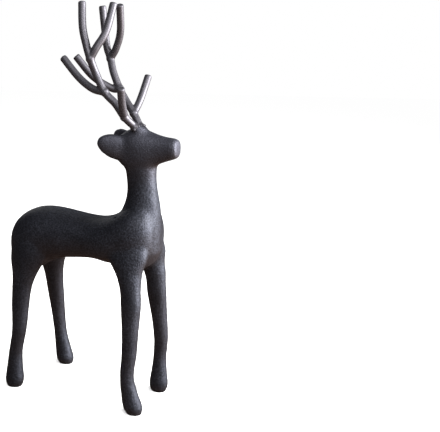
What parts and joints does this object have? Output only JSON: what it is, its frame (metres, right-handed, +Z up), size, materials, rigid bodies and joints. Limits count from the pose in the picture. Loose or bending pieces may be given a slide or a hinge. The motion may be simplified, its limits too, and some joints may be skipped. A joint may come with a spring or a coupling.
{
  "type": "stag statue",
  "caption": "Standing stag statue in dark cast iron, plain and rounded in form, with branching antlers bent from round bar. Stands on its own feet as a table or garden ornament.",
  "frame": {"origin": "on the floor, under the middle of the whole statue's box", "axes": "+X where the nose points, +Y the animal's left side, +Z up"},
  "size_m": [0.1506, 0.0788, 0.3331],
  "materials": {
    "iron": "near-black satin coat over a fine pebbly cast surface",
    "bar": "dark grey satin, smoother than the casting"
  },
  "bodies": {
    "root": {"stag_casting": "iron", "antler_right": "bar", "antler_left": "bar"}
  },
  "joints": []
}
